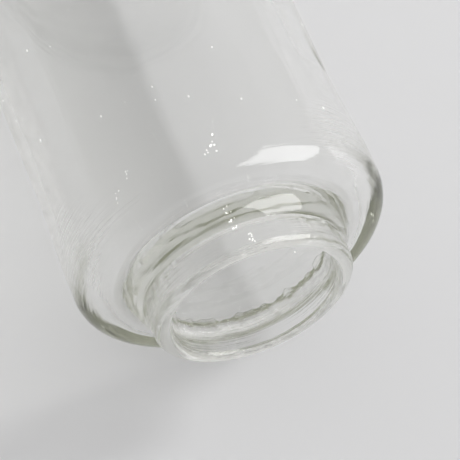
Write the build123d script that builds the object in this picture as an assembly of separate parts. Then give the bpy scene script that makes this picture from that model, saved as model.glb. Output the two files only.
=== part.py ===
from build123d import *
import math
import os

# Lidded glass canister. Millimetres, +Z up. The origin is the centre of the ring that the jar
# stands on. The jar and the lid are bodies of revolution about Z.

# ---- jar, outside ----
body_radius = 46.8          # the straight wall
heel_swell = 1.2            # the wall swells by this much just above the rounded lower corner
jar_height = 185.0          # standing ring to rim
shoulder_height = 15.1      # the underside between the foot ring and the rounded lower corner
heel_round = 8.0            # the rounded lower corner
heel_fade = 34.0            # height over which the swell fades out
fade_round = 60.0           # the soft bends at both ends of that stretch
rim_round = 2.2             # the fire-polished rim

# ---- foot ring, with the base pushed up inside it ----
foot_radius = 30.6
foot_wall = 6.2             # thickness of the ring at the top of the recess
foot_fillet = 8.6           # inside curve where the ring meets the underside
foot_edge_round = 2.6       # the ring's outer edge
ring_inner_round = 1.8      # the ring's inner edge; a narrow flat to stand on is left between
recess_depth = 12.0         # from the standing surface up to the edge of the recess
recess_flare = 1.2          # the recess is wider by this much at its open end
recess_rise = 0.6           # the top of the recess is domed by this much
recess_flat_radius = 8.0
recess_dome_round = 40.0
recess_corner_round = 0.4

# ---- jar, inside ----
wall = 5.0                  # straight wall
shoulder_thickness = 4.6    # over the underside
base_thickness = 6.6        # over the recess
cavity_corner_round = 5.0   # inside the rounded lower corner

# ---- lid ----
flange_overhang = 0.9       # past the straight wall
flange_thickness = 5.0
flange_round = 1.8
crown_rise = 5.0            # height of the lid's crown over its flange
crown_radius = 34.0         # where the crown starts to rise
crown_round = 18.0          # the soft bend there
collar_depth = 16.0         # the collar hangs this far into the mouth
collar_gap = 2.2            # between the collar and the mouth
collar_wall = 5.0
collar_round = 1.6
lid_hollow_round = 4.0      # between the collar and the underside of the lid
lid_seat_gap = 0.05         # under the flange

# ---- knob, one piece with the lid ----
knob_radius = 14.0
knob_neck_radius = 7.5
knob_neck_height = 4.0
knob_neck_fillet = 3.2

# ---- seal ring, in a groove round the collar ----
seal_clearance = 0.05       # in the groove and in the mouth
groove_depth = 1.6
groove_height = 7.0
groove_top = 3.5            # below the flange
seal_web = 1.2              # thickness of the ring behind its lips
seal_lips = 3
seal_lip_height = 1.1
seal_lip_round = 0.3

AXIS = 0.0
EDGE_SHARE = 0.98           # of an edge, at most, goes to the roundings at its ends


def rounded_profile(corners):
    """A closed face in XZ from (radius, height, corner rounding) triples, in order.

    Where two roundings would meet on a short edge, both are reduced to fit it.
    """
    count = len(corners)
    points = [Vector(radius, height) for radius, height, _ in corners]
    edges = [points[(i + 1) % count] - points[i] for i in range(count)]
    half_angles = [math.radians((edges[i - 1] * -1).get_angle(edges[i])) / 2 for i in range(count)]
    reaches = [corners[i][2] / math.tan(half_angles[i]) for i in range(count)]
    for i in range(count):
        needed = reaches[i] + reaches[(i + 1) % count]
        room = edges[i].length * EDGE_SHARE
        if needed > room:
            reaches[i] *= room / needed
            reaches[(i + 1) % count] *= room / needed
    with BuildSketch(Plane.XZ) as sketch:
        with BuildLine():
            for i in range(count):
                back = edges[i - 1].normalized() * -1
                ahead = edges[i].normalized()
                end = points[i] + ahead * reaches[i]
                if reaches[i] > 0:
                    rounding = reaches[i] * math.tan(half_angles[i])
                    depth = rounding / math.sin(half_angles[i]) - rounding
                    middle = points[i] + (back + ahead).normalized() * depth
                    ThreePointArc(points[i] + back * reaches[i], middle, end)
                following = (i + 1) % count
                Line(end, points[following] - ahead * reaches[following])
        make_face()
    return sketch.sketch


def turned(corners):
    """A body of revolution about Z."""
    return revolve(rounded_profile(corners), Axis.Z, 360)


def glass_jar():
    heel_radius = body_radius + heel_swell
    mouth_radius = body_radius - wall
    heel_height = shoulder_height + heel_round
    recess_radius = foot_radius - foot_wall
    recess_top = recess_depth + recess_rise
    cavity_shoulder = shoulder_height + shoulder_thickness
    cavity_floor = recess_top + base_thickness
    return turned([
        (AXIS, recess_top, 0),
        (recess_flat_radius, recess_top, recess_dome_round),
        (recess_radius, recess_depth, recess_corner_round),
        (recess_radius + recess_flare, 0, ring_inner_round),
        (foot_radius, 0, foot_edge_round),
        (foot_radius, shoulder_height, foot_fillet),
        (heel_radius, shoulder_height, heel_round),
        (heel_radius, heel_height + heel_fade / 4, fade_round),
        (body_radius, heel_height + heel_fade, fade_round),
        (body_radius, jar_height, rim_round),
        (mouth_radius, jar_height, rim_round),
        (mouth_radius, cavity_shoulder, cavity_corner_round),
        (AXIS, cavity_floor, 0),
    ])


def glass_lid():
    collar_radius = body_radius - wall - collar_gap
    groove_radius = collar_radius - groove_depth
    hollow_radius = collar_radius - collar_wall
    seat = jar_height + lid_seat_gap
    collar_bottom = seat - collar_depth
    groove_ceiling = seat - groove_top
    groove_floor = groove_ceiling - groove_height
    flange_radius = body_radius + flange_overhang
    flange_top = seat + flange_thickness
    crown_top = flange_top + crown_rise
    neck_top = crown_top + knob_neck_height
    knob_rise = math.sqrt(knob_radius ** 2 - knob_neck_radius ** 2)
    plate = turned([
        (AXIS, seat, 0),
        (hollow_radius, seat, lid_hollow_round),
        (hollow_radius, collar_bottom, collar_round),
        (collar_radius, collar_bottom, collar_round),
        (collar_radius, groove_floor, 0),
        (groove_radius, groove_floor, 0),
        (groove_radius, groove_ceiling, 0),
        (collar_radius, groove_ceiling, 0),
        (collar_radius, seat, 0),
        (flange_radius, seat, flange_round),
        (flange_radius, flange_top, flange_round),
        (crown_radius, flange_top, crown_round),
        (knob_neck_radius, crown_top, knob_neck_fillet),
        (knob_neck_radius, neck_top + knob_radius / 3, 0),
        (AXIS, neck_top + knob_radius / 3, 0),
    ])
    knob = Pos(0, 0, neck_top + knob_rise) * Sphere(knob_radius)
    return plate + knob


def seal_ring():
    mouth_radius = body_radius - wall
    groove_radius = mouth_radius - collar_gap - groove_depth
    inner = groove_radius + seal_clearance
    web = inner + seal_web
    lip = mouth_radius - seal_clearance
    top = jar_height + lid_seat_gap - groove_top - seal_clearance
    height = groove_height - 2 * seal_clearance
    pitch = (height - seal_lip_height) / (seal_lips - 1)
    corners = [(inner, top - height, 0)]
    for i in range(seal_lips):
        low = top - height + i * pitch
        high = low + seal_lip_height
        if i > 0:
            corners.append((web, low, 0))
        corners.append((lip, low, seal_lip_round))
        corners.append((lip, high, seal_lip_round))
        if i < seal_lips - 1:
            corners.append((web, high, 0))
    corners.append((inner, top, 0))
    return turned(corners)


os.makedirs("parts", exist_ok=True)
export_step(glass_jar(), "parts/glass_jar.step")
export_step(glass_lid(), "parts/glass_lid.step")
export_step(seal_ring(), "parts/seal_ring.step")
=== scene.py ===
"""A lidded glass canister: hand-blown jar, glass lid and soft seal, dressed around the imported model.

Metres, +Z up, origin at the centre of the ring that the jar stands on.
"""
import math
import random

import bmesh
import bpy
from mathutils import Matrix, Vector, noise


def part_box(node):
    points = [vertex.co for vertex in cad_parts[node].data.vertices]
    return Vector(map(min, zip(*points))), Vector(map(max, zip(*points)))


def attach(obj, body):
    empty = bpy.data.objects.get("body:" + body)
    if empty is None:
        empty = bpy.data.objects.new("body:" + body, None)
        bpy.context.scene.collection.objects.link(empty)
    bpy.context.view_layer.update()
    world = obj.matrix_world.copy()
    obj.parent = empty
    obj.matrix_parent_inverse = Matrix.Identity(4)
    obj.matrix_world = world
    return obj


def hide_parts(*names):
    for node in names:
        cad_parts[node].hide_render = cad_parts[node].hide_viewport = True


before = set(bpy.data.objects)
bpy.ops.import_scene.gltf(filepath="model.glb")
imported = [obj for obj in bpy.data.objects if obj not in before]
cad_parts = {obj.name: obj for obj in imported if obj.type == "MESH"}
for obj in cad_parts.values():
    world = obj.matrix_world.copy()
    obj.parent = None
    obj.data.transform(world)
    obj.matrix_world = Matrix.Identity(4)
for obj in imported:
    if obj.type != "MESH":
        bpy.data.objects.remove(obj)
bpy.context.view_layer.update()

MM = 0.001
jar_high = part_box("glass_jar")[1]
lid_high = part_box("glass_lid")[1]
seal_low, seal_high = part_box("seal_ring")

# ---- sizes, in metres: heights come from the frame, radii repeat the model's own sizes ----
rim_height = jar_high[2]
body_radius = 46.8 * MM
heel_radius = 48.0 * MM
mouth_radius = body_radius - 5.0 * MM
lid_seat = rim_height + 0.05 * MM
lid_top = lid_high[2]
flange_radius = 47.7 * MM
skin = 0.12 * MM            # the hand-blown unevenness stays this far inside the nominal size

TURN_STEPS = 384            # points round the jar
ARC_STEP = math.radians(7)


# ---------------------------------------------------------------- turned glass

def rounded(corners):
    """(radius, height) points along an outline of (radius, height, corner rounding) triples."""
    points = []
    last = len(corners) - 1
    for i, (radius, height, rounding) in enumerate(corners):
        if rounding == 0 or i in (0, last):
            points.append((radius, height))
            continue
        here = Vector((radius, height))
        back = (Vector(corners[i - 1][:2]) - here).normalized()
        ahead = (Vector(corners[i + 1][:2]) - here).normalized()
        half = back.angle(ahead) / 2
        centre = here + (back + ahead).normalized() * (rounding / math.sin(half))
        start = here + back * (rounding / math.tan(half)) - centre
        end = here + ahead * (rounding / math.tan(half)) - centre
        first = math.atan2(start.y, start.x)
        sweep = (math.atan2(end.y, end.x) - first + math.pi) % math.tau - math.pi
        steps = max(2, math.ceil(abs(sweep) / ARC_STEP))
        for j in range(steps + 1):
            a = first + sweep * j / steps
            points.append((centre.x + rounding * math.cos(a), centre.y + rounding * math.sin(a)))
    return points


def spaced(points, longest):
    """The same outline with long straight runs divided, so that uneven glass can bend."""
    out = [points[0]]
    for (r0, z0), (r1, z1) in zip(points, points[1:]):
        count = max(1, math.ceil(math.dist((r0, z0), (r1, z1)) / longest))
        out += [(r0 + (r1 - r0) * k / count, z0 + (z1 - z0) * k / count) for k in range(1, count + 1)]
    return out


def no_mark(a, radius, height):
    return 0


def turned(outline, uneven, mark=no_mark):
    """A closed body of revolution. uneven(angle, radius, height) moves each point by (dr, dz).

    mark(angle, radius, height) is how much painted shade darkens the glass there, from 0 to 1.
    """
    mesh = bmesh.new()
    painted_shade = mesh.verts.layers.float.new("painted_shade")
    rings = []
    for radius, height in outline:
        if radius < 1e-6:
            rings.append([mesh.verts.new((0, 0, height + uneven(0, 0, height)[1]))])
            continue
        ring = []
        for i in range(TURN_STEPS):
            a = math.tau * i / TURN_STEPS
            dr, dz = uneven(a, radius, height)
            moved = radius + dr
            made = mesh.verts.new((moved * math.cos(a), moved * math.sin(a), height + dz))
            made[painted_shade] = mark(a, radius, height)
            ring.append(made)
        rings.append(ring)
    for low, high in zip(rings, rings[1:]):
        for i in range(TURN_STEPS):
            j = (i + 1) % TURN_STEPS
            if len(low) == 1:
                mesh.faces.new((low[0], high[i], high[j]))
            elif len(high) == 1:
                mesh.faces.new((low[j], low[i], high[0]))
            else:
                mesh.faces.new((low[i], high[i], high[j], low[j]))
    bmesh.ops.recalc_face_normals(mesh, faces=mesh.faces)
    return mesh


def add_seed(mesh, centre, size, along, stretch):
    """A small gas bubble: a closed hollow in the glass, longer along one direction."""
    made = bmesh.ops.create_icosphere(mesh, subdivisions=2, radius=size / 2)["verts"]
    turn = Vector(along).to_track_quat("Z", "Y").to_matrix()
    for v in made:
        v.co = turn @ Vector((v.co.x, v.co.y, v.co.z * stretch)) + centre
    # Its faces take the second material, which glows white: a painted sparkle, not light from the
    # lamps.
    for face in {f for v in made for f in v.link_faces}:
        face.material_index = 1


def glass_object(name, mesh, material, body, node):
    data = bpy.data.meshes.new(name)
    mesh.to_mesh(data)
    mesh.free()
    data.shade_smooth()
    data.materials.append(material)
    # Seed faces take the glowing seed material, a painted sparkle.
    if max(polygon.material_index for polygon in data.polygons) > 0:
        data.materials.append(seed_painted_sparkle)
    piece = bpy.data.objects.new(name, data)
    bpy.context.scene.collection.objects.link(piece)
    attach(piece, body)
    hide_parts(node)
    return piece


def ripple(a, height, turns, pitch, place):
    """Smooth seamless noise round the axis: turns sets how quick it is round, pitch up the axis."""
    return noise.noise(Vector((math.cos(a) * turns, math.sin(a) * turns, height / pitch + place)))


# ---------------------------------------------------------------- the view that the jar is seen in
# The jar is seen lying on its side on a pale table, base towards the viewer. Here it stands, so
# the table is an upright plane beside it, and these are the table's directions in this frame.

BASE_WAY = Vector((0, 0, -1))                 # out of the jar's base
table_azimuth = math.radians(235)
TABLE_UP = Vector((math.sin(table_azimuth), -math.cos(table_azimuth), 0))
TABLE_SIDE = TABLE_UP.cross(BASE_WAY)
base_turn = math.radians(20.45)               # the base points this far to the right of the viewer
view_drop = math.radians(57.7)                # the viewer looks down on the table this steeply


def on_table(right, back, up):
    """A direction in this frame from one given as seen from the viewer's side of the table."""
    along_base = right * math.sin(base_turn) - back * math.cos(base_turn)
    along_side = right * math.cos(base_turn) + back * math.sin(base_turn)
    return BASE_WAY * along_base + TABLE_SIDE * along_side + TABLE_UP * up


to_viewer = on_table(0, -math.cos(view_drop), math.sin(view_drop))
NEAR = (to_viewer - BASE_WAY * to_viewer.dot(BASE_WAY)).normalized()
ACROSS = NEAR.cross(BASE_WAY)                 # towards the viewer's right
near_azimuth = math.atan2(NEAR.y, NEAR.x)


def place(turn_degrees, radius, height):
    """A point by its turn from the side nearest the viewer, its radius and its height."""
    a = math.radians(turn_degrees)
    return (NEAR * math.cos(a) + ACROSS * math.sin(a)) * radius + Vector((0, 0, height))


# ---------------------------------------------------------------- materials

def nodes_of(name):
    material = bpy.data.materials.new(name)
    material.use_nodes = True
    tree = material.node_tree
    return material, tree, tree.nodes["Principled BSDF"]


def node(tree, kind, **values):
    made = tree.nodes.new(kind)
    for key, value in values.items():
        made.inputs[key.replace("_", " ")].default_value = value
    return made


TOOLED_BELOW = 28 * MM      # tool streaks are at their full depth up to this height
PLAIN_ABOVE = 44 * MM       # and nearly gone from here up


def blown_glass(name, streak_depth):
    """Clear glass with a faint olive tint in its depth, ring-wise tool streaks and slow waves."""
    material, tree, shader = nodes_of(name)
    link = tree.links.new
    shader.inputs["Roughness"].default_value = 0.0
    shader.inputs["IOR"].default_value = 1.5
    shader.inputs["Transmission Weight"].default_value = 1.0
    tint = node(tree, "ShaderNodeVolumeAbsorption", Color=(0.75, 0.76, 0.68, 1), Density=14.0)
    link(tint.outputs[0], tree.nodes["Material Output"].inputs["Volume"])
    # Painted shade: the mesh's shade attribute turns the base colour from white to dark olive along
    # the crease.
    painted_shade = tree.nodes.new("ShaderNodeAttribute")
    painted_shade.attribute_name = "painted_shade"
    clear = tree.nodes.new("ShaderNodeValToRGB")
    clear.color_ramp.elements[0].color = (1, 1, 1, 1)
    clear.color_ramp.elements[1].color = (0.14, 0.145, 0.11, 1)
    link(painted_shade.outputs["Fac"], clear.inputs["Fac"])
    link(clear.outputs["Color"], shader.inputs["Base Color"])

    where = tree.nodes.new("ShaderNodeTexCoord")
    rings = node(tree, "ShaderNodeMapping", Scale=(8, 8, 1400))
    link(where.outputs["Object"], rings.inputs["Vector"])
    streaks = node(tree, "ShaderNodeTexNoise", Scale=1.0, Detail=3.0, Roughness=0.55)
    link(rings.outputs[0], streaks.inputs["Vector"])
    patches = node(tree, "ShaderNodeTexNoise", Scale=38.0, Detail=1.0)
    link(where.outputs["Object"], patches.inputs["Vector"])
    shown = node(tree, "ShaderNodeMapRange", From_Min=0.42, From_Max=0.62, To_Min=0.4, To_Max=1.0)
    link(patches.outputs["Fac"], shown.inputs["Value"])
    spot = tree.nodes.new("ShaderNodeSeparateXYZ")
    link(where.outputs["Object"], spot.inputs[0])
    tooled = node(tree, "ShaderNodeMapRange", From_Min=TOOLED_BELOW, From_Max=PLAIN_ABOVE,
                  To_Min=1.0, To_Max=0.04)
    link(spot.outputs["Z"], tooled.inputs["Value"])
    height = tree.nodes.new("ShaderNodeMath")
    height.operation = "MULTIPLY"
    link(streaks.outputs["Fac"], height.inputs[0])
    link(shown.outputs[0], height.inputs[1])
    low = tree.nodes.new("ShaderNodeMath")
    low.operation = "MULTIPLY"
    link(height.outputs[0], low.inputs[0])
    link(tooled.outputs[0], low.inputs[1])
    bump = node(tree, "ShaderNodeBump", Strength=1.0, Distance=streak_depth)
    link(low.outputs[0], bump.inputs["Height"])
    slow = node(tree, "ShaderNodeTexNoise", Scale=60.0, Detail=1.0)
    link(where.outputs["Object"], slow.inputs["Vector"])
    waves = node(tree, "ShaderNodeBump", Strength=1.0, Distance=0.00010)
    link(slow.outputs["Fac"], waves.inputs["Height"])
    link(bump.outputs[0], waves.inputs["Normal"])
    link(waves.outputs[0], shader.inputs["Normal"])

    # Lamp light goes straight through, less at the edges, so that the jar's shadow is soft.
    ray = tree.nodes.new("ShaderNodeLightPath")
    slant = node(tree, "ShaderNodeLayerWeight", Blend=0.5)
    let_through = tree.nodes.new("ShaderNodeValToRGB")
    let_through.color_ramp.elements[0].color = (0.985, 0.985, 0.975, 1)
    let_through.color_ramp.elements[1].color = (0.0, 0.0, 0.0, 1)
    link(slant.outputs["Facing"], let_through.inputs["Fac"])
    through = tree.nodes.new("ShaderNodeBsdfTransparent")
    link(let_through.outputs["Color"], through.inputs["Color"])
    mix = tree.nodes.new("ShaderNodeMixShader")
    link(ray.outputs["Is Shadow Ray"], mix.inputs["Fac"])
    link(shader.outputs[0], mix.inputs[1])
    link(through.outputs[0], mix.inputs[2])
    link(mix.outputs[0], tree.nodes["Material Output"].inputs["Surface"])
    return material


def soft_seal():
    """Clear soft silicone: cloudy, satin, faintly dusty."""
    material, tree, shader = nodes_of("clear_silicone")
    link = tree.links.new
    shader.inputs["IOR"].default_value = 1.41
    shader.inputs["Transmission Weight"].default_value = 0.65
    where = tree.nodes.new("ShaderNodeTexCoord")
    cloud = node(tree, "ShaderNodeTexNoise", Scale=90.0, Detail=4.0)
    link(where.outputs["Object"], cloud.inputs["Vector"])
    tone = tree.nodes.new("ShaderNodeValToRGB")
    tone.color_ramp.elements[0].color = (0.74, 0.76, 0.73, 1)
    tone.color_ramp.elements[1].color = (0.88, 0.89, 0.87, 1)
    link(cloud.outputs["Fac"], tone.inputs["Fac"])
    link(tone.outputs["Color"], shader.inputs["Base Color"])
    satin = node(tree, "ShaderNodeMapRange", To_Min=0.30, To_Max=0.48)
    link(cloud.outputs["Fac"], satin.inputs["Value"])
    link(satin.outputs[0], shader.inputs["Roughness"])
    grain = node(tree, "ShaderNodeTexNoise", Scale=2600.0, Detail=2.0)
    link(where.outputs["Object"], grain.inputs["Vector"])
    bump = node(tree, "ShaderNodeBump", Strength=0.4, Distance=0.00002)
    link(grain.outputs["Fac"], bump.inputs["Height"])
    link(bump.outputs[0], shader.inputs["Normal"])
    return material


def painted_sparkle_seed():
    """A gas bubble in the glass, shown as a white dot by light of its own: a painted sparkle,
    brightest face-on and dimmer towards its rim.
    """
    material, tree, shader = nodes_of("seed_painted_sparkle")
    link = tree.links.new
    shader.inputs["Roughness"].default_value = 0.15
    shader.inputs["Emission Strength"].default_value = 1.3
    # Painted shading on the dot: the glow and colour fall from face-on towards the rim.
    rim = node(tree, "ShaderNodeLayerWeight", Blend=0.35)
    tone = tree.nodes.new("ShaderNodeValToRGB")
    tone.color_ramp.elements[0].color = (1.0, 1.0, 0.98, 1)
    tone.color_ramp.elements[1].color = (0.55, 0.56, 0.53, 1)
    link(rim.outputs["Facing"], tone.inputs["Fac"])
    link(tone.outputs["Color"], shader.inputs["Base Color"])
    link(tone.outputs["Color"], shader.inputs["Emission Color"])
    return material


seed_painted_sparkle = painted_sparkle_seed()

# ---------------------------------------------------------------- the jar

shoulder_height = 15.1 * MM
heel_height = shoulder_height + 8.0 * MM
cavity_shoulder = shoulder_height + 4.6 * MM
foot_radius = 30.6 * MM
recess_radius = foot_radius - 6.2 * MM
recess_depth = 12.0 * MM
recess_top = recess_depth + 0.6 * MM
crease_width = 0.5 * MM
crease_depth = 0.15 * MM
crease_wander = 2.0 * MM                      # the edge moves in and out by this times scallops()
crease_lift = 0.3 * MM                        # and up and down by this
crease_reach = 2.2 * MM                       # how far round it the glass moves with it
crease_line = 0.08 * MM                       # half the width of its line of painted shade
SCATTERED_SEEDS = 60
cavity_floor = recess_top + 6.6 * MM

jar_corners = [
    (0, recess_top, 0),
    (8.0 * MM, recess_top, 40.0 * MM),
    (recess_radius - crease_width, recess_depth, 0.2 * MM),
    (recess_radius, recess_depth + crease_depth, 0.1 * MM),
    (recess_radius + 1.2 * MM, 0, 1.8 * MM),
    (foot_radius, 0, 2.6 * MM),
    (foot_radius, shoulder_height, 8.6 * MM),
    (heel_radius, shoulder_height, 8.0 * MM),
    (heel_radius, heel_height + 8.5 * MM, 60.0 * MM),
    (body_radius, heel_height + 34.0 * MM, 60.0 * MM),
    (body_radius, rim_height, 2.2 * MM),
    (mouth_radius, rim_height, 2.2 * MM),
    (mouth_radius, cavity_shoulder, 5.0 * MM),
    (0, cavity_floor, 0),
]


def scallops(a):
    """The broken, scalloped edge inside the pushed-up base: lobes with sharp points between."""
    lobes = 0.0
    for count, size, start in ((11, 0.34, 0.6), (19, 0.30, 2.1), (37, 0.20, 4.4)):
        lobes += size * (1 - 2 * abs(math.sin(count * a / 2 + start)))
    return lobes


def blown(a, radius, height):
    """Unevenness of the hand-blown jar."""
    inside = radius < mouth_radius + 0.5 * MM and height > cavity_floor - 0.01 * MM
    if inside:
        thin = min(1, max(0, (rim_height - height) / (30 * MM))) * min(1, radius / mouth_radius)
        bands = 0.45 * ripple(a, height, 1.9, 0.16, 7.3) + 0.20 * ripple(a, height, 4.5, 0.12, 2.2)
        rise = 0.25 * MM * ripple(a, height, 2.2, 0.05, 5.1) * (radius / mouth_radius)
        return bands * MM * thin, rise
    if radius < recess_radius + 1.3 * MM and height < recess_top + crease_depth:
        to_corner = math.dist((radius, height), (recess_radius, recess_depth))
        broken = 0.55 - 0.45 * math.cos(a - near_azimuth)
        edge = broken * scallops(a) * math.exp(-(to_corner / crease_reach) ** 2)
        in_crease = recess_radius - crease_width < radius and height > recess_depth
        closed = (1 - broken) * max(0, height - recess_depth) if in_crease else 0
        return -crease_wander * edge, crease_lift * edge - closed
    low = min(1, max(0, height / (4 * MM)))
    swell = 0.5 + 0.5 * ripple(a, height, 1.6, 0.06, 1.7)
    return -2 * skin * swell * low, 0


def painted_crease_shade(a, radius, height):
    """Painted shade: a thin dark line along the bottom of the crease, none on the side nearest the
    viewer and darkest on the far side.
    """
    to_crease = math.dist((radius, height), (recess_radius, recess_depth + crease_depth))
    return 0.5 - 0.5 * math.cos(a - near_azimuth) if to_crease < crease_line else 0


def jar_mesh():
    mesh = turned(spaced(rounded(jar_corners), 3.5 * MM), blown, painted_crease_shade)
    up = (0, 0, 1)
    # Clusters of glowing seeds, mostly on the side nearest the viewer, are painted sparkles of light.
    clusters = (
        # turn from the near side, radius, height, spread, how many, size
        (7, 46.6, 26.0, 3.0, 11, 0.48),
        (6, 29.6, 10.0, 1.8, 8, 0.42),
        (5, 31.0, 14.5, 1.6, 6, 0.38),
        (11, 29.2, 4.0, 1.6, 9, 0.42),
        (-29, 46.2, 26.0, 2.0, 5, 0.32),
        (-24, 45.6, 31.0, 1.6, 4, 0.30),
    )
    draw = random.Random(11)
    for turn, radius, height, spread, count, size in clusters:
        for _ in range(count):
            centre = place(turn, radius * MM, height * MM)
            centre += Vector((0, 0, 1)) * draw.uniform(-spread, spread) * MM
            centre += ACROSS * draw.uniform(-spread, spread) * 0.7 * MM
            add_seed(mesh, centre, size * draw.uniform(0.6, 1.1) * MM, up, draw.uniform(1.0, 1.5))
    for _ in range(SCATTERED_SEEDS):
        turn, radius, height = draw.uniform(0, 360), draw.uniform(43.4, 45.2), draw.uniform(34, 176)
        centre = place(turn, radius * MM, height * MM)
        add_seed(mesh, centre, draw.uniform(0.2, 0.5) * MM, up, draw.uniform(1.0, 2.4))
    return mesh


jar_glass = blown_glass("blown_glass", 0.00014)
glass_object("glass_jar_blown", jar_mesh(), jar_glass, "jar", "glass_jar")


# ---------------------------------------------------------------- the lid

collar_radius = mouth_radius - 2.2 * MM
groove_radius = collar_radius - 1.6 * MM
hollow_radius = collar_radius - 5.0 * MM
collar_bottom = lid_seat - 16.0 * MM
groove_ceiling = lid_seat - 3.5 * MM
groove_floor = groove_ceiling - 7.0 * MM
flange_top = lid_seat + 5.0 * MM
crown_top = flange_top + 5.0 * MM
knob_radius = 14.0 * MM
neck_radius = 7.5 * MM
knob_middle = lid_top - knob_radius


def knob_outline():
    """The ball knob, from where it meets its neck up to its top."""
    start = -math.acos(neck_radius / knob_radius)
    steps = math.ceil((math.pi / 2 - start) / ARC_STEP)
    points = []
    for k in range(steps + 1):
        a = start + (math.pi / 2 - start) * k / steps
        points.append((knob_radius * math.cos(a), knob_middle + knob_radius * math.sin(a)))
    points[-1] = (0, lid_top)
    return points


lid_corners = [
    (0, lid_seat, 0),
    (hollow_radius, lid_seat, 4.0 * MM),
    (hollow_radius, collar_bottom, 1.6 * MM),
    (collar_radius, collar_bottom, 1.6 * MM),
    (collar_radius, groove_floor, 0.25 * MM),
    (groove_radius, groove_floor, 0.25 * MM),
    (groove_radius, groove_ceiling, 0.25 * MM),
    (collar_radius, groove_ceiling, 0.25 * MM),
    (collar_radius, lid_seat, 0.3 * MM),
    (flange_radius, lid_seat, 1.8 * MM),
    (flange_radius, flange_top, 1.8 * MM),
    (34.0 * MM, flange_top, 18.0 * MM),
    (neck_radius, crown_top, 3.2 * MM),
    knob_outline()[0] + (0,),
]


def pressed(a, radius, height):
    """Unevenness of the lid: slow waves on its top and knob, none where it seats."""
    if height < flange_top - 1 * MM:
        return 0, 0
    fade = min(1, radius / (10 * MM))
    return -skin * fade * (0.5 + 0.5 * ripple(a, height, 1.8, 0.03, 9.2)), 0


def lid_mesh():
    outline = spaced(rounded(lid_corners), 3.0 * MM) + knob_outline()[1:]
    mesh = turned(outline, pressed)
    draw = random.Random(5)
    for _ in range(16):
        a, reach = draw.uniform(0, math.tau), draw.uniform(0, 9) * MM
        height = knob_middle + draw.uniform(-8, 8) * MM
        centre = Vector((reach * math.cos(a), reach * math.sin(a), height))
        add_seed(mesh, centre, draw.uniform(0.3, 0.9) * MM, (0, 0, 1), draw.uniform(1.0, 1.4))
    for _ in range(14):
        a, reach = draw.uniform(0, math.tau), draw.uniform(16, 43) * MM
        centre = Vector((reach * math.cos(a), reach * math.sin(a), lid_seat + 2.6 * MM))
        add_seed(mesh, centre, draw.uniform(0.3, 0.7) * MM, (math.sin(a), -math.cos(a), 0), 1.5)
    return mesh


lid_glass = blown_glass("lid_glass", 0.000012)
glass_object("glass_lid_blown", lid_mesh(), lid_glass, "lid", "glass_lid")


# ---------------------------------------------------------------- the seal

def seal_mesh():
    inner = groove_radius + 0.05 * MM
    web = inner + 1.2 * MM
    lip = seal_high[0] - 0.05 * MM
    low, high = seal_low[2], seal_high[2]
    lip_height = 1.1 * MM
    pitch = (high - low - lip_height) / 2
    corners = [(inner, low, 0.15 * MM)]
    for i in range(3):
        foot = low + i * pitch
        if i > 0:
            corners.append((web, foot, 0.25 * MM))
        corners.append((lip, foot, 0.35 * MM))
        corners.append((lip, foot + lip_height, 0.35 * MM))
        if i < 2:
            corners.append((web, foot + lip_height, 0.25 * MM))
    corners.append((inner, high, 0.15 * MM))
    outline = rounded([corners[-1]] + corners + [corners[0]])[1:-1]
    mesh = bmesh.new()
    rings = []
    for radius, height in outline:
        rings.append([mesh.verts.new((radius * math.cos(math.tau * i / TURN_STEPS),
                                      radius * math.sin(math.tau * i / TURN_STEPS), height))
                      for i in range(TURN_STEPS)])
    for low_ring, high_ring in zip(rings, rings[1:] + rings[:1]):
        for i in range(TURN_STEPS):
            j = (i + 1) % TURN_STEPS
            mesh.faces.new((low_ring[i], high_ring[i], high_ring[j], low_ring[j]))
    bmesh.ops.recalc_face_normals(mesh, faces=mesh.faces)
    return mesh


glass_object("seal_ring_soft", seal_mesh(), soft_seal(), "seal", "seal_ring")


# ---------------------------------------------------------------- stage

def pale_surface(name, colour):
    """Plain matt white, faintly uneven, seen from its front only."""
    material, tree, shader = nodes_of(name)
    link = tree.links.new
    shader.inputs["Roughness"].default_value = 0.85
    shader.inputs["Specular IOR Level"].default_value = 0.15
    cloud = node(tree, "ShaderNodeTexNoise", Scale=3.0, Detail=3.0)
    tone = tree.nodes.new("ShaderNodeValToRGB")
    tone.color_ramp.elements[0].color = (*[c * 0.985 for c in colour], 1)
    tone.color_ramp.elements[1].color = (*colour, 1)
    link(cloud.outputs["Fac"], tone.inputs["Fac"])
    link(tone.outputs["Color"], shader.inputs["Base Color"])
    shader.inputs["Emission Color"].default_value = (*colour, 1)
    shader.inputs["Emission Strength"].default_value = 0.26
    back = tree.nodes.new("ShaderNodeNewGeometry")
    clear = tree.nodes.new("ShaderNodeBsdfTransparent")
    mix = tree.nodes.new("ShaderNodeMixShader")
    link(back.outputs["Backfacing"], mix.inputs["Fac"])
    link(shader.outputs[0], mix.inputs[1])
    link(clear.outputs[0], mix.inputs[2])
    link(mix.outputs[0], tree.nodes["Material Output"].inputs["Surface"])
    return material


def plane(name, centre, side, other, half, material):
    data = bpy.data.meshes.new(name)
    corners = [centre + side * sx * half + other * sy * half
               for sx, sy in ((-1, -1), (1, -1), (1, 1), (-1, 1))]
    data.from_pydata([tuple(c) for c in corners], [], [(0, 1, 2, 3)])
    data.materials.append(material)
    made = bpy.data.objects.new(name, data)
    bpy.context.scene.collection.objects.link(made)
    return made


pale = (0.60, 0.60, 0.608)
table = plane("pale_table", -TABLE_UP * (heel_radius + 0.1 * MM), BASE_WAY, TABLE_SIDE, 2.5,
              pale_surface("table_white", pale))
floor = plane("pale_floor", Vector((0, 0, -0.1 * MM)), Vector((1, 0, 0)), Vector((0, 1, 0)), 4.0,
              pale_surface("floor_white", pale))
for ground in (table, floor):
    ground.visible_shadow = False
floor.visible_diffuse = False
floor.visible_glossy = False
floor.visible_transmission = False

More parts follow.
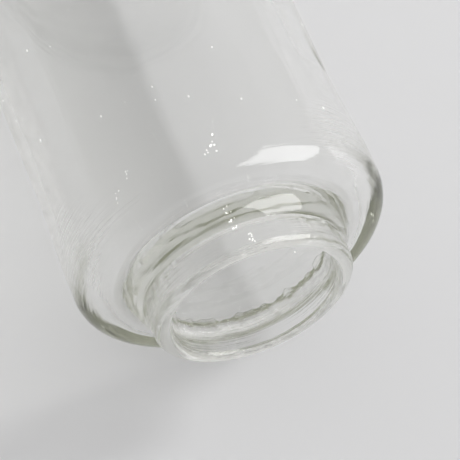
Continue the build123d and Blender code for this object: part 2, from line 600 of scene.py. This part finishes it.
world = bpy.data.worlds.new("soft_studio")
bpy.context.scene.world = world
world.use_nodes = True
world_tree = world.node_tree
sky = world_tree.nodes["Background"]
sky.inputs["Color"].default_value = (0.985, 0.98, 0.97, 1)
sky_way = world_tree.nodes.new("ShaderNodeTexCoord")
facing = world_tree.nodes.new("ShaderNodeVectorMath")
facing.operation = "DOT_PRODUCT"
facing.inputs[1].default_value = on_table(0.55, 0.75, 0.25).normalized()
world_tree.links.new(sky_way.outputs["Generated"], facing.inputs[0])
brightness = node(world_tree, "ShaderNodeMapRange", From_Min=-0.8, From_Max=0.7,
                  To_Min=0.46, To_Max=0.74)
brightness.interpolation_type = "SMOOTHSTEP"
world_tree.links.new(facing.outputs["Value"], brightness.inputs["Value"])
world_tree.links.new(brightness.outputs[0], sky.inputs["Strength"])


def softbox(name, direction, distance, width, height, power):
    light = bpy.data.lights.new(name, "AREA")
    light.shape = "RECTANGLE"
    light.size = width
    light.size_y = height
    light.energy = power
    lamp = bpy.data.objects.new(name, light)
    bpy.context.scene.collection.objects.link(lamp)
    way = direction.normalized()
    lamp.location = way * distance
    lamp.rotation_mode = "QUATERNION"
    lamp.rotation_quaternion = way.to_track_quat("Z", "Y")
    lamp.visible_camera = False
    return lamp


def glint_only(lamp):
    """A softbox that shows in the glass but adds no light to the table."""
    lamp.visible_diffuse = False
    lamp.visible_transmission = False


window_way = on_table(0.817, -0.247, 0.52)
window = softbox("window", on_table(0.75, 0.45, 0.40), 1.8, 0.36, 0.36, 18.0)
window.visible_glossy = False
window.visible_transmission = False
glint_only(softbox("window_glint", window_way, 1.6, 1.3, 1.6, 36.0))
softbox("overhead", Vector((0, 0, 1)), 1.6, 0.9, 0.9, 6.0).visible_transmission = False

# ---------------------------------------------------------------- camera

LENS, SENSOR = 230.6, 36.0
viewer_distance = 0.842
aim_right, aim_up = 7.5 * MM, -21.0 * MM      # the foot's centre from the picture's centre

viewer_up = on_table(0, math.sin(view_drop), math.cos(view_drop))
viewer_right = on_table(1, 0, 0)
camera_data = bpy.data.cameras.new("camera")
camera_data.sensor_width = SENSOR
camera_data.lens = LENS
camera_data.clip_start = 0.01
camera_data.clip_end = 50
camera = bpy.data.objects.new("camera", camera_data)
bpy.context.scene.collection.objects.link(camera)
camera.location = to_viewer * viewer_distance - viewer_right * aim_right - viewer_up * aim_up
camera.rotation_mode = "QUATERNION"
camera.rotation_quaternion = Matrix((viewer_right, viewer_up, to_viewer)).transposed().to_quaternion()
bpy.context.scene.camera = camera

bpy.context.scene.view_settings.view_transform = "Standard"
cycles = bpy.context.scene.cycles
cycles.max_bounces = cycles.transmission_bounces = cycles.glossy_bounces = 64
